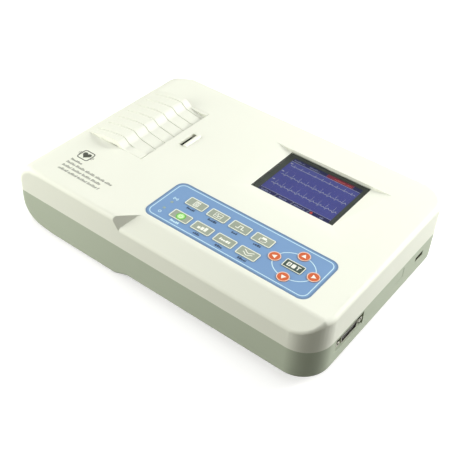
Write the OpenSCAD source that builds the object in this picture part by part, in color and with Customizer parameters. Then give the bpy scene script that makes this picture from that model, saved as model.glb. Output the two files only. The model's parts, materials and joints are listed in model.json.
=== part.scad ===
// Portable three-channel electrocardiograph: a two-part case with a thermal printer under a lid on the
// left, a colour screen behind and a membrane keypad in front.
// X runs to the operator's right, Y away from the operator and Z up. The origin is the centre of the
// footprint, on the surface that the machine stands on.

/* [Case] */
// Overall length of the case, left to right
case_l = 315.7; // [312:0.1:320]
// Overall depth of the case, front to back
case_w = 210.8; // [208:0.1:214]
// Height of the flat top
top_z = 67; // [66.5:0.1:67.5]
// Height of the seam between the two halves
seam_z = 37.4; // [37:0.1:38]
// Underside of the deep left block
left_floor_z = 1.5; // [1.5:0.1:2]
// Underside of the shallower right block
right_floor_z = 7.3; // [7:0.1:7.6]
// Wall thickness
wall = 2.5; // [2.2:0.1:2.7]
// Plan radius of the two right-hand corners
corner_r = 26; // [24:0.5:28]
// Radius of the upper half of the rounded left end
nose_top_r = 20; // [19.5:0.1:20.5]
// Radius of the lower half of the rounded left end
nose_low_r = 25; // [24.5:0.1:25.5]

/* [Printer] */
// Front edge of the printer lid's opening
bay_y0 = -31.9; // [-33:0.1:-31]
// Back edge of the printer lid's opening
bay_y1 = 63.8; // [63:0.1:65]
// Right edge of the printer lid's opening
bay_x1 = -77; // [-77.5:0.1:-76.5]
// Height of the lid's hump over the flat top
hump_h = 5.5; // [4:0.1:5.6]
// Drop of the lid's right edge below the flat top
lid_drop = 3.5; // [3:0.1:4]
// Spacing of the grooves across the lid
groove_pitch = 13.1; // [12.8:0.1:13.3]
// Radius of a full paper roll
roll_r = 22; // [18:0.5:22.5]
// Width of the recording paper
paper_w = 80; // [78:1:80]
// Radius of the platen's rubber
platen_r = 5.5; // [5:0.1:5.6]

/* [Keypad] */
// Length of the keypad overlay
pad_l = 160.8; // [160:0.1:162]
// Depth of the keypad overlay
pad_w = 51.6; // [51:0.1:52.5]
// Length of a rectangular key
key_l = 18.4; // [17:0.1:19]
// Depth of a rectangular key
key_w = 10; // [9:0.1:11]
// Radius of an arrow key
arrow_r = 5.1; // [4.5:0.1:5.5]
// How far a key is pressed down
key_travel = 0.5; // [0.3:0.1:0.5]

/* [Screen] */
// Length of the screen window
screen_l = 82.8; // [82:0.1:84]
// Depth of the screen window
screen_w = 63.2; // [62:0.1:65]
// Depth of the scoop that holds the window
scoop_d = 2.8; // [2:0.1:2.9]

/* [Hidden] */

hl = case_l / 2;
hw = case_w / 2;
nose_top = [-hl + nose_top_r, 47];
nose_low = [-hl + nose_low_r, left_floor_z + nose_low_r];
nose_front_f = 6.5;             // fillet round the front end of the rounded left end
nose_back_f = 13;               // the same at its back end
back_x = -hl + 29;              // where the rounded back left corner meets the back wall
top_f = 4.5;                    // fillet round the flat top
base_f = 4;                     // fillet round the underside
ramp_x = [-44, -29];            // where the underside steps up from the left block
slope_top_y = -89.2;            // back edge of the front slope
slope_low_z = 56.6;             // where the front slope meets the front wall
slope_top_r = 9;                // rounding between the top and the front slope
slope_low_r = 4.5;              // rounding between the front slope and the walls
slope_fall = atan((top_z - slope_low_z) / (hw + slope_top_y));
step_top_x = -26.5;             // inner corner of the slope's left end
step_front_x = -43.5;           // outer corner of the slope's left end
step_low_x = -36;               // lower corner of the slope's left end
roof_z = top_z - wall;          // inside of the top
floor_z = right_floor_z + wall; // inside of the right block's floor

screw_at = [[-100, -93], [-100, 93], [-14, -95], [8, 95], [136, -86], [136, 86]];
screw_r = 1.5;
foot_left = [[-128, -84], [-128, 84]];
foot_right = [[126, -74], [126, 74], [-8, -84], [-8, 84]];
foot_r = 8;

pad_c = [51.1, -57.8];          // middle of the keypad overlay
pad_r = 8;
overlay_z = [66.55, 67];
cap_z = [66.3, 67.35];          // underside and top of a key cap
pocket_z = cap_z[0] - key_travel - 0.3;
stem_z = 63.7;
stem_r = 2;
key_x = [0.4, 23.05, 45.7, 68.3];
key_row_y = [-48.5, -68.9];
arrow_at = [[85.9, -57.8], [103.9, -43.3], [103.9, -72.3], [122, -57.8]];
set_at = [103.9, -57.8];
set_l = 17.5;
set_w = 9.2;
lamp_at = [[-17.5, -59.3], [-17.5, -68.9]];
lamp_r = 1.3;
board_top_z = 62.6;             // top of the keypad board
board_t = 1.6;
pad_post_at = [[-22, -40], [-22, -76], [34.4, -58.6], [78, -41], [78, -76], [126, -41], [126, -76]];

screen_c = [57.6, 37.2];
bracket_z = [57, 60.8];
bracket_screw_at = [for (x = [15, 100], y = [1, 69]) [x, y]];
pane_z = [62.7, top_z - scoop_d];
scoop_x = [-1.4, 118.8];
scoop_y0 = -12;
scoop_back_y = screen_c[1] + screen_w / 2;

hinge_r = 3.2;
hinge_at = [-hl + hinge_r + 0.05, 46];
hinge_pin_r = 1;
hinge_gap_z = 41.5;             // top of the case below the lid's hinge
lid_gap = 0.3;
lid_y = [bay_y0 + lid_gap, bay_y1 - lid_gap];
lid_x1 = bay_x1 - 0.9;
lid_t = 2.2;
hump_x = [-141, -107, -97.4];   // start, crest and foot of the hump
rim_y = [lid_y[0] + 8.7, lid_y[1] - 3.3];
groove_x = [-139, -80];
groove_w = 1;
groove_d = 0.7;
groove_n = 7;
groove_y0 = -22.7;

bay_c_y = (bay_y0 + bay_y1) / 2;
roll_at = [-122, 31];
roll_core_r = 6.3;
trough_r = 24;
trough_t = 1.5;
bay_wall_z = 46;                // top of the paper bay's end walls
spindle_r = 6;
spindle_pin_r = 2.5;

gear_m = 0.8;                   // module of the gear train
platen_at = [-86, 52];
platen_teeth = 16;
idler_teeth = 30;
pinion_teeth = 12;
shaft_r = 2;
run_gap = 0.05;                 // radial clearance of a running fit
gear_y = [59.7, 62.2];
ear_y = [[-27.6, -25.4], [57.2, 59.4]];
idler_at = platen_at - [0, (platen_teeth + idler_teeth) * gear_m / 2];
pinion_angle = -34;
pinion_d = (idler_teeth + pinion_teeth) * gear_m / 2;
pinion_at = idler_at + pinion_d * [cos(pinion_angle), sin(pinion_angle)];
motor_r = 12.5;
frame_y = [-29.2, 57];          // outer faces of the print frame's cheeks
frame_t = 1.5;
head_x = -80.2;

latch_z = [59.3, 60.8];         // underside and top of the latch plate
latch_travel = 3;
knob_x = [-63.2, -58.6];
latch_slot_x = [knob_x[0] - latch_travel - 1.5, knob_x[1] + 0.3];
latch_slot_y = [7.7, 29.5];
spring_x = [-52, -45.3];        // ends of the latch's spring
catch_y = [[-29.9, -28.2], [60, 61.7]];

conn_y = [-74.3, -33.5];
conn_z = [22, 35];
conn_floor_x = hl - 6;
conn_c = [(conn_y[0] + conn_y[1]) / 2, (conn_z[0] + conn_z[1]) / 2];
conn_screw_pitch = 33.3;
usb_c = [60.4, 26.5];
blank_y = [19.6, 31.9];
blank_z = [23.6, 34.4];
inlet_c = [60, 23];
ground_c = [98, 22];

main_z = 22;                    // top of the main board
main_post_at = [[12, -70], [12, -32], [108, 66], [120, -70]];
power_z = 17.6;                 // top of the power board
power_post_at = [[36, 56], [90, 56], [36, 78], [90, 78]];
battery_min = [22, -14, 11];
battery_max = [86, 40, 31];
door_x = [19, 89];
door_y = [-17, 43];

white = [0.93, 0.94, 0.89];
grey_green = [0.68, 0.73, 0.66];
board_green = [0.1, 0.4, 0.25];
steel = [0.7, 0.71, 0.73];
black = [0.1, 0.1, 0.11];

// ---- helpers ----

// A box from one corner to the opposite one
module box(a, b) { translate(a) cube(b - a); }

// A round bar along Y
module rod_y(at, y, r) {
    translate([at[0], y[1], at[1]]) rotate([90, 0, 0]) cylinder(r = r, h = y[1] - y[0]);
}

// A round bar along X
module rod_x(x, at, r) {
    translate([x[0], at[0], at[1]]) rotate([0, 90, 0]) cylinder(r = r, h = x[1] - x[0]);
}

// A plan outline in X and Z carried along Y
module slab_y(y) { translate([0, y[1], 0]) rotate([90, 0, 0]) linear_extrude(y[1] - y[0]) children(); }

// A rounded rectangle centred on a point
module plate(c, l, w, r, z) {
    translate([c[0], c[1], z[0]]) linear_extrude(z[1] - z[0]) {
        square([l - 2 * r, w], center = true);
        square([l, w - 2 * r], center = true);
        for (x = [-1, 1], y = [-1, 1]) translate([x * (l / 2 - r), y * (w / 2 - r)]) circle(r = r);
    }
}

// A round post from z[0] up to z[1]
module post(at, z, r) { translate([at[0], at[1], z[0]]) cylinder(r = r, h = z[1] - z[0]); }

// A spur gear along Y, with one tooth turned to an angle measured from +X towards +Z
module gear(at, teeth, y, turn, bore) {
    pitch = teeth * gear_m / 2;
    root = pitch - 1.15 * gear_m;
    tip = pitch + 0.85 * gear_m;
    step = 360 / teeth;
    slab_y(y) translate(at) difference() {
        polygon([for (i = [0 : teeth - 1], p = [[root, -0.34], [tip, -0.12], [tip, 0.12], [root, 0.34]])
            p[0] * [cos(turn + (i + p[1]) * step), sin(turn + (i + p[1]) * step)]]);
        circle(r = bore);
    }
}

// A coil spring that climbs Z from the origin by pitch a turn
module spring(turns, pitch, r, wire) {
    sides = 8;
    rings = round(turns * 16);
    points = [for (i = [0 : rings], j = [0 : sides - 1])
        let (turn = 360 * turns * i / rings, around = 360 * j / sides, out = r + wire * cos(around))
        [out * cos(turn), out * sin(turn), pitch * turns * i / rings + wire * sin(around)]];
    faces = [for (i = [0 : rings - 1], j = [0 : sides - 1], half = [0, 1])
        let (a = i * sides + j, b = i * sides + (j + 1) % sides)
        half == 0 ? [a, a + sides, b + sides] : [a, b + sides, b]];
    ends = [[for (j = [0 : sides - 1]) j], [for (j = [sides - 1 : -1 : 0]) rings * sides + j]];
    polyhedron(points, concat(faces, ends));
}

// ---- case ----

// Rounded end of the nose at one side: a ring that the outline is stretched over
module nose_ring(c, r, side, f, inset) {
    translate([c[0], side * (hw - f), c[1]]) rotate([90, 0, 0]) rotate_extrude($fn = 96) intersection() {
        translate([r - f, 0]) circle(r = f - inset, $fn = 24);
        translate([0, -f]) square([r, 2 * f]);
    }
}

// Everything that the front slope takes off the case, with the slope rounded into the top and the front wall
module front_slope(inset) {
    fall = slope_fall;
    top_c = [slope_top_y + slope_top_r * tan(fall / 2), top_z - slope_top_r];
    low_c = [slope_low_r - hw, slope_low_z - slope_low_r * tan(45 - fall / 2)];
    along = [step_front_x - step_top_x, -hw - slope_top_y, 0];
    down = [step_low_x - step_top_x, -hw - slope_top_y, slope_low_z - top_z];
    side = cross(along, down) / norm(cross(along, down));
    intersection() {
        translate([2 * ramp_x[0], 0, 0]) rotate([90, 0, 90]) linear_extrude(case_l) polygon(concat(
            [[top_c[0], 2 * top_z]],
            [for (i = [0 : 8]) top_c + (slope_top_r - inset) * [-sin(fall * i / 8), cos(fall * i / 8)]],
            [for (i = [0 : 8], t = fall + (90 - fall) * i / 8)
                low_c + (slope_low_r - inset) * [-sin(t), cos(t)]],
            [[-2 * hw, low_c[1]], [-2 * hw, 2 * top_z]]));
        translate([step_top_x - 1.6 * inset, slope_top_y, top_z])
            rotate([0, -asin(side[2]), atan2(side[1], side[0])])
                translate([0, -case_l, -case_l]) cube(2 * case_l);
    }
}

// What the rounding round the right front corner takes off, where the slope runs out over it
module corner_round() {
    c = [hl - corner_r, corner_r - hw];
    r = slope_low_r;
    arc = [for (t = [-90 : 7.5 : 0]) c + (corner_r - r) * [cos(t), sin(t)]];
    line = concat(arc, [c + [corner_r - r, corner_r]]);
    difference() {
        box([c[0], -hw - 1, slope_low_z - 12], [hl + 1, c[1], top_z + 1]);
        hull() for (q = line, away = [[0, 0, 0], [-30, 0, 0], [0, 0, -30]]) {
            rise = (q[1] + hw) * tan(slope_fall) - r / cos(slope_fall);
            translate(away + [q[0], q[1], min(top_z - r, slope_low_z + rise)])
                sphere(r = 1.02 * r, $fn = 24);
        }
    }
}

// The upper case's outline, drawn in by inset and starting at height z0
module upper_form(inset, z0) {
    difference() {
        hull() {
            for (s = [[-1, nose_front_f], [1, nose_back_f]]) {
                nose_ring(nose_top, nose_top_r, s[0], s[1], inset);
                translate([-hl + s[1], s[0] * (hw - s[1]), z0])
                    cylinder(r = s[1] - inset, h = nose_top[1] - z0, $fn = 24);
                translate([back_x, s[0] * (hw - top_f), 0]) {
                    translate([0, 0, z0]) cylinder(r = top_f - inset, h = top_z - top_f - z0, $fn = 24);
                    translate([0, 0, top_z - top_f]) sphere(r = top_f - inset, $fn = 24);
                }
                translate([hl - corner_r, s[0] * (hw - corner_r), 0]) {
                    translate([0, 0, z0]) cylinder(r = corner_r - inset, h = top_z - top_f - z0, $fn = 96);
                    translate([0, 0, top_z - top_f]) rotate_extrude($fn = 96)
                        translate([corner_r - top_f, 0]) circle(r = top_f - inset, $fn = 24);
                }
            }
        }
        front_slope(inset);
        if (inset == 0) corner_round();
        box([-case_l, -case_w, -top_z], [case_l, case_w, z0]);
    }
}

// The lower case's outline, drawn in by inset and ending at height z1
module lower_form(inset, z1) {
    difference() {
        lower_left(inset, z1);
        box([-case_l, -case_w, z1], [case_l, case_w, 2 * top_z]);
    }
    lower_right(inset, z1);
}

// The deep left block, with the rounded left end and the step up to the right block
module lower_left(inset, z1) {
    hull() for (s = [[-1, nose_front_f], [1, nose_back_f]]) {
        nose_ring(nose_low, nose_low_r, s[0], s[1], inset);
        translate([-hl + s[1], s[0] * (hw - s[1]), nose_low[1]])
            cylinder(r = s[1] - inset, h = z1 - nose_low[1], $fn = 24);
        translate([back_x, s[0] * (hw - top_f), left_floor_z + nose_back_f])
            cylinder(r = top_f - inset, h = z1 - left_floor_z - nose_back_f, $fn = 24);
        translate([back_x + 8, s[0] * (hw - base_f), left_floor_z + base_f])
            sphere(r = base_f - inset, $fn = 24);
        translate([ramp_x[0], s[0] * (hw - base_f), left_floor_z + base_f])
            sphere(r = base_f - inset, $fn = 24);
        translate([ramp_x[1], s[0] * (hw - base_f), right_floor_z + base_f]) {
            sphere(r = base_f - inset, $fn = 24);
            cylinder(r = base_f - inset, h = z1 - right_floor_z - base_f, $fn = 24);
        }
    }
}

// The shallower right block
module lower_right(inset, z1) {
    hull() for (s = [-1, 1]) {
        translate([2 * ramp_x[0], s * (hw - base_f), right_floor_z + base_f]) {
            sphere(r = base_f - inset, $fn = 24);
            cylinder(r = base_f - inset, h = z1 - right_floor_z - base_f, $fn = 24);
        }
        translate([hl - corner_r, s * (hw - corner_r), right_floor_z + base_f]) {
            rotate_extrude($fn = 96) translate([corner_r - base_f, 0]) circle(r = base_f - inset, $fn = 24);
            cylinder(r = corner_r - inset, h = z1 - right_floor_z - base_f, $fn = 96);
        }
    }
}

module lower_case() {
    color(grey_green) difference() {
        union() {
            difference() {
                lower_form(0, seam_z);
                lower_form(wall, seam_z + 2);
            }
            // screw posts, and posts under the boards
            for (p = screw_at)
                post(p, [(p[0] < -50 ? left_floor_z : right_floor_z) + 1, seam_z - 0.2], 4.5);
            for (p = main_post_at) post(p, [floor_z - 1, main_z - board_t], 3);
            for (p = power_post_at) post(p, [floor_z - 1, power_z - board_t], 3);
            // battery box
            box([door_x[0] - 2, door_y[0] - 2, right_floor_z + 1],
                [door_x[1] + 2, door_y[1] + 2, battery_max[2] + 2.5]);
            // thicker wall behind the patient connector, the mains inlet and the ground terminal
            box([conn_floor_x - wall, conn_y[0] - 2.5, conn_z[0] - 2],
                [hl - 1, conn_y[1] + 2.5, conn_z[1] + 1.9]);
            box([inlet_c[0] - 18, hw - 8, inlet_c[1] - 12.8], [inlet_c[0] + 18, hw - 1, inlet_c[1] + 13.8]);
            box([ground_c[0] - 9, hw - 8, ground_c[1] - 9], [ground_c[0] + 9, hw - 1, ground_c[1] + 9]);
        }
        for (p = screw_at) {
            base = p[0] < -50 ? left_floor_z : right_floor_z;
            post(p, [base - 1, seam_z + 1], screw_r + 0.2);
            post(p, [base - 1, base + 5], 3.2);
        }
        for (p = main_post_at) post(p, [floor_z + 2, main_z], 1);
        for (p = power_post_at) post(p, [floor_z + 2, power_z], 1);
        for (p = foot_left) post(p, [0, left_floor_z + 1], foot_r + 0.1);
        for (p = foot_right) post(p, [0, right_floor_z + 1], foot_r + 0.1);
        box([door_x[0] + 1.5, door_y[0] + 1.5, 0], [door_x[1] - 1.5, door_y[1] - 1.5, battery_max[2] + 0.5]);
        box([door_x[0], door_y[0], 0], [door_x[1], door_y[1], right_floor_z + 2]);
        // patient connector's recess and cut-out
        box([conn_floor_x, conn_y[0], conn_z[0]], [hl + 1, conn_y[1], conn_z[1]]);
        box([conn_floor_x - 10, conn_c[0] - 12.5, conn_c[1] - 4.5], [hl, conn_c[0] + 12.5, conn_c[1] + 4.5]);
        for (s = [-1, 1]) rod_x([conn_floor_x - 10, hl], conn_c + [s * conn_screw_pitch / 2, 0], 1.8);
        // data port and blanked port
        box([hl - 12, usb_c[0] - 6.9, usb_c[1] - 2.9], [hl + 1, usb_c[0] + 6.9, usb_c[1] + 2.9]);
        box([hl - 12, blank_y[0], blank_z[0]], [hl + 1, blank_y[1], blank_z[1]]);
        // mains inlet and ground terminal
        box([inlet_c[0] - 16.2, hw - 3, inlet_c[1] - 12.2], [inlet_c[0] + 16.2, hw + 1, inlet_c[1] + 12.2]);
        box([inlet_c[0] - 13.8, hw - 20, inlet_c[1] - 10], [inlet_c[0] + 13.8, hw + 1, inlet_c[1] + 10]);
        rod_y(ground_c, [hw - 4.5, hw + 1], 7);
        rod_y(ground_c, [hw - 20, hw + 1], 2.1);
    }
}

module upper_case() {
    color(white) difference() {
        union() {
            difference() {
                upper_form(0, seam_z);
                upper_form(wall, seam_z - 1);
            }
            // thicker top round the screen's scoop
            box([scoop_x[0] - 2, scoop_y0 - 2, roof_z - 3.3],
                [scoop_x[1] + 2, scoop_back_y + 2.5, roof_z + 1]);
            // collars down both sides of the printer's opening
            for (y = [[bay_y0 - wall, bay_y0], [bay_y1, bay_y1 + wall]])
                box([nose_top[0] - 5, y[0], hinge_gap_z], [bay_x1, y[1], roof_z + 0.5]);
            // screw posts
            for (p = screw_at) post(p, [seam_z + 0.2, p[1] < -90 && p[0] > -50 ? 58 : roof_z + 1], 4.5);
            // posts that hold the keypad board
            for (p = pad_post_at) post(p, [board_top_z + 0.2, roof_z + 1], 2.4);
            // lugs of the lid's hinge
            for (y = [[-29, -21], [53, 61]]) {
                rod_y(hinge_at, y, hinge_r - 0.2);
                box([hinge_at[0] - 1.2, y[0], seam_z + 0.2],
                    [hinge_at[0] + hinge_r - 0.2, y[1], hinge_at[1]]);
            }
            // rib that anchors the latch's spring, and the guides that the latch slides in
            box([spring_x[1], 14, latch_z[0] - 2], [spring_x[1] + 2, 23, roof_z + 0.5]);
            for (s = [0, 1]) translate([0, bay_c_y, 0]) mirror([0, s, 0]) {
                box([-68, 47.5, latch_z[0] - 1.3], [-58, 49.1, roof_z + 0.5]);
                box([-68, 45.7, latch_z[0] - 1.3], [-58, 49.1, latch_z[0] - 0.2]);
            }
        }
        // printer's opening, clear of the hinge lugs
        difference() {
            box([-hl - 1, bay_y0, hinge_gap_z], [bay_x1, bay_y1, top_z + 1]);
            for (y = [[-29, -21], [53, 61]]) {
                rod_y(hinge_at, y, hinge_r - 0.2);
                box([hinge_at[0] - 1.2, y[0], seam_z], [hinge_at[0] + hinge_r - 0.2, y[1], hinge_at[1]]);
            }
        }
        rod_y(hinge_at, [-30.5, 62.5], hinge_pin_r);
        // latch slot
        box([latch_slot_x[0], latch_slot_y[0], roof_z - 2], [latch_slot_x[1], latch_slot_y[1], top_z + 1]);
        // scoop and screen window
        hull() {
            box([screen_c[0] - screen_l / 2, screen_c[1] - screen_w / 2, top_z - scoop_d],
                [screen_c[0] + screen_l / 2, scoop_back_y, top_z - scoop_d + 0.01]);
            box([scoop_x[0], scoop_y0, top_z], [scoop_x[1], scoop_back_y, top_z + 0.01]);
        }
        plate(screen_c, screen_l + 0.2, screen_w + 0.2, 0.6, [roof_z - 5, top_z]);
        // keypad: shallow bed for the overlay, a pocket and a stem hole for each key
        plate(pad_c, pad_l + 0.4, pad_w + 0.4, pad_r + 0.2, [overlay_z[0], top_z + 1]);
        for (x = key_x, y = key_row_y) plate([x, y], key_l + 0.8, key_w + 0.8, 1.9, [pocket_z, top_z]);
        plate(set_at, set_l + 0.8, set_w + 0.8, 1.9, [pocket_z, top_z]);
        for (p = arrow_at) post(p, [pocket_z, top_z], arrow_r + 0.4);
        for (x = key_x, y = key_row_y) post([x, y], [roof_z - 1, top_z], stem_r + 0.4);
        for (p = concat(arrow_at, [set_at])) post(p, [roof_z - 1, top_z], stem_r + 0.4);
        for (p = lamp_at) post(p, [roof_z - 1, top_z], lamp_r + 0.2);
        for (p = screw_at) post(p, [seam_z - 1, seam_z + 14], screw_r - 0.1);
        for (p = pad_post_at) post(p, [board_top_z, board_top_z + 2.6], 0.9);
        for (p = bracket_screw_at) post(p, [bracket_z[1], bracket_z[1] + 2.6], 0.9);
    }
}

module case_screws() {
    color(steel) for (p = screw_at) {
        base = (p[0] < -50 ? left_floor_z : right_floor_z) + 2.4;
        difference() {
            post(p, [base, base + 2.6], 2.9);
            for (a = [0, 90]) translate([p[0], p[1], base]) rotate(a) cube([3.2, 0.8, 2], center = true);
        }
        post(p, [base + 2.6, seam_z + 9], screw_r - 0.15);
    }
}

module feet() {
    color([0.3, 0.31, 0.3]) {
        for (p = foot_left) foot(p, left_floor_z + 1);
        for (p = foot_right) foot(p, right_floor_z + 1);
    }
}

// A rubber foot with a rounded tread
module foot(at, h) {
    translate([at[0], at[1], 0]) rotate_extrude($fn = 64) {
        square([foot_r - 1, h]);
        translate([0, 1]) square([foot_r, h - 1]);
        translate([foot_r - 1, 1]) circle(r = 1, $fn = 24);
    }
}

module battery_pack() {
    color([0.15, 0.3, 0.55]) difference() {
        box(battery_min, battery_max);
        for (x = [battery_min[0] + 16 : 16 : battery_min[0] + 48])
            rod_y([x, battery_max[2] + 2.4], [battery_min[1] - 1, battery_max[1] + 1], 4);
    }
}

module battery_door() {
    color(grey_green) difference() {
        union() {
            box([door_x[0] + 0.3, door_y[0] + 0.3, right_floor_z],
                [door_x[1] - 0.3, door_y[1] - 0.3, right_floor_z + 1.9]);
            for (y = [-4, 18])
                box([door_x[0] + 2, y, right_floor_z + 1.5], [door_x[0] + 3.2, y + 10, right_floor_z + 3.6]);
        }
        for (x = [door_x[1] - 14 : 2 : door_x[1] - 6])
            box([x, 3, right_floor_z - 1], [x + 1, 23, right_floor_z + 0.6]);
        post([door_x[1] - 4, 13], [right_floor_z - 1, right_floor_z + 3], 1.6);
    }
}

// ---- electronics ----

module main_board() {
    color(board_green) difference() {
        union() {
            box([4, -78, main_z - board_t], [148, -24, main_z]);
            box([100, -26, main_z - board_t], [148, 72, main_z]);
            for (c = [[30, -52, 16, 1.6], [62, -46, 12, 1.4], [92, -56, 18, 1.8],
                [124, 0, 14, 1.6], [112, 36, 8, 1.2]])
                translate([c[0] - c[2] / 2, c[1] - c[2] / 2, main_z - 0.1]) cube([c[2], c[2], c[3]]);
            for (x = [18 : 9 : 63]) post([x, -30], [main_z - 0.1, main_z + 7], 2.6);
            box([70, -33, main_z - 0.1], [92, -27, main_z + 5]);
            box([10, -60, main_z - 0.1], [14, -40, main_z + 4]);
        }
        for (p = main_post_at) post(p, [main_z - 3, main_z + 8], 1.4);
    }
}

module power_board() {
    color([0.45, 0.36, 0.16]) difference() {
        union() {
            box([31, 51, power_z - board_t], [95, 84, power_z]);
            box([50, 54, power_z - 0.1], [74, 76, power_z + 18]);
            post([82, 67], [power_z - 0.1, power_z + 20], 6);
            post([42, 67], [power_z - 0.1, power_z + 14], 4.5);
            box([32, 60, power_z - 0.1], [35, 74, power_z + 6]);
        }
        for (p = power_post_at) post(p, [power_z - 3, power_z + 3], 1.4);
    }
}

module board_screws() {
    color(steel) {
        for (p = main_post_at) small_screw(p, main_z, -5);
        for (p = power_post_at) small_screw(p, power_z, -5);
        for (p = pad_post_at) small_screw(p, board_top_z - board_t, 3.6);
        for (p = bracket_screw_at) small_screw(p, bracket_z[0], 6);
    }
}

// A pan-head screw against a face at height z, its shank reaching up, or down if reach is negative
module small_screw(at, z, reach) {
    translate([at[0], at[1], z]) mirror([0, 0, reach > 0 ? 1 : 0]) {
        cylinder(r = 2, h = 1.3);
        translate([0, 0, -abs(reach)]) cylinder(r = 0.8, h = abs(reach));
    }
}

module speaker() {
    color(black) difference() {
        union() {
            post([-8, 60], [floor_z + 0.1, floor_z + 3], 14);
            post([-8, 60], [floor_z + 2.9, floor_z + 7.5], 8);
        }
        post([-8, 60], [floor_z - 1, floor_z + 1.5], 12);
    }
}

// ---- screen ----

module screen_window() {
    color([0.13, 0.13, 0.2]) plate(screen_c, screen_l, screen_w, 0.5, pane_z);
}

module lcd_panel() {
    color([0.3, 0.3, 0.55]) {
        box([20, 5.8, 58.6], [97, 66.6, 61.8]);
        box([22.2, 6.4, 61.7], [94.4, 64.6, 62.4]);
    }
}

module lcd_bracket() {
    color(black) difference() {
        box([12, -2, bracket_z[0]], [103, 72, bracket_z[1]]);
        box([19.8, 5.6, bracket_z[0] + 1.5], [97.2, 66.8, bracket_z[1] + 1]);
        box([26, 8, bracket_z[0] - 1], [91, 60, bracket_z[1]]);
        for (p = bracket_screw_at) post(p, [bracket_z[0] - 1, bracket_z[1] + 1], 1.1);
    }
}

// ---- keypad ----

module keypad_overlay() {
    color([0.5, 0.63, 0.83]) difference() {
        plate(pad_c, pad_l, pad_w, pad_r, overlay_z);
        for (x = key_x, y = key_row_y) plate([x, y], key_l + 0.6, key_w + 0.6, 1.8, [66, 68]);
        plate(set_at, set_l + 0.6, set_w + 0.6, 1.8, [66, 68]);
        for (p = arrow_at) post(p, [66, 68], arrow_r + 0.3);
        for (p = lamp_at) post(p, [66, 68], lamp_r + 0.1);
    }
}

module dome_sheet() {
    color(steel) difference() {
        union() {
            box([-25, -80, board_top_z], [127, -36, board_top_z + 0.1]);
            for (p = concat([for (x = key_x, y = key_row_y) [x, y]], arrow_at, [set_at]))
                translate([p[0], p[1], board_top_z]) rotate_extrude($fn = 48)
                    polygon([[0, 0], [3, 0], [2.6, 0.3], [1.4, 0.48], [0, 0.5]]);
        }
        for (p = pad_post_at) post(p, [board_top_z - 1, board_top_z + 1], 2.8);
        for (p = lamp_at) post(p, [board_top_z - 1, board_top_z + 1], lamp_r + 0.3);
    }
}

module keypad_board() {
    color(board_green) difference() {
        union() {
            box([-27, -81.5, board_top_z - board_t], [129, -34.5, board_top_z]);
            box([10, -70, board_top_z - board_t - 2], [30, -64, board_top_z - board_t + 0.1]);
        }
        for (p = pad_post_at) post(p, [board_top_z - 3, board_top_z + 1], 1.1);
    }
}

module indicator_lights() {
    color([0.6, 0.68, 0.55]) for (p = lamp_at) post(p, [board_top_z, overlay_z[1] + 0.1], lamp_r);
}

module rect_key(x, y, tint = [0.66, 0.68, 0.6]) {
    color(tint) {
        plate([x, y], key_l, key_w, 1.5, cap_z);
        post([x, y], [stem_z, cap_z[0] + 0.1], stem_r);
    }
}

module round_key(at) {
    color([0.88, 0.41, 0.25]) {
        post(at, cap_z, arrow_r);
        post(at, [stem_z, cap_z[0] + 0.1], stem_r);
    }
}

module key_menu() { rect_key(key_x[0], key_row_y[0]); }
module key_mode() { rect_key(key_x[1], key_row_y[0]); }
module key_calibrate() { rect_key(key_x[2], key_row_y[0]); }
module key_print() { rect_key(key_x[3], key_row_y[0]); }
module key_power() { rect_key(key_x[0], key_row_y[1], [0.3, 0.7, 0.35]); }
module key_gain() { rect_key(key_x[1], key_row_y[1]); }
module key_speed() { rect_key(key_x[2], key_row_y[1]); }
module key_filter() { rect_key(key_x[3], key_row_y[1]); }
module key_left() { round_key(arrow_at[0]); }
module key_up() { round_key(arrow_at[1]); }
module key_down() { round_key(arrow_at[2]); }
module key_right() { round_key(arrow_at[3]); }
module key_set() {
    color([0.28, 0.33, 0.31]) {
        plate(set_at, set_l, set_w, 1.5, cap_z);
        post(set_at, [stem_z, cap_z[0] + 0.1], stem_r);
    }
}

// ---- printer ----

// Height of the lid's outer surface at x, lowered by d
function lid_z(x, d = 0) =
    x < hump_x[0] ? nose_top[1] + sqrt(max(0, pow(nose_top_r - d, 2) - pow(x - nose_top[0], 2))) :
    x < hump_x[1] ? lid_blend(x) - d + hump_h * sin(90 * (x - hump_x[0]) / (hump_x[1] - hump_x[0])) :
    x < hump_x[2] ? top_z - d + hump_h * (1 + cos(180 * (x - hump_x[1]) / (hump_x[2] - hump_x[1]))) / 2 :
    top_z - d - lid_drop * (x - hump_x[2]) / (lid_x1 - hump_x[2]);

// The nose's own height over the start of the hump
function lid_blend(x) = x < nose_top[0]
    ? nose_top[1] + sqrt(pow(nose_top_r, 2) - pow(x - nose_top[0], 2)) : top_z;

// The lid's profile in X and Z, from x0 to x1 and between two depths under its outer surface
module lid_band(x0, x1, d0, d1) {
    steps = 48;
    xs = [for (i = [0 : steps]) x0 + (x1 - x0) * i / steps];
    polygon(concat([for (x = xs) [x, lid_z(x, d0)]], [for (i = [steps : -1 : 0]) [xs[i], lid_z(xs[i], d1)]]));
}

// The part of the lid that wraps round the nose, down to the hinge
module lid_nose() {
    intersection() {
        difference() {
            translate(nose_top) circle(r = nose_top_r, $fn = 180);
            translate(nose_top) circle(r = nose_top_r - lid_t, $fn = 180);
        }
        translate([-hl - 1, nose_top[1] - 0.2]) square([hump_x[0] + hl + 1.2, nose_top_r + 1]);
    }
    translate([-hl, hinge_at[1]]) square([lid_t, nose_top[1] - hinge_at[1] + 0.1]);
}

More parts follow.
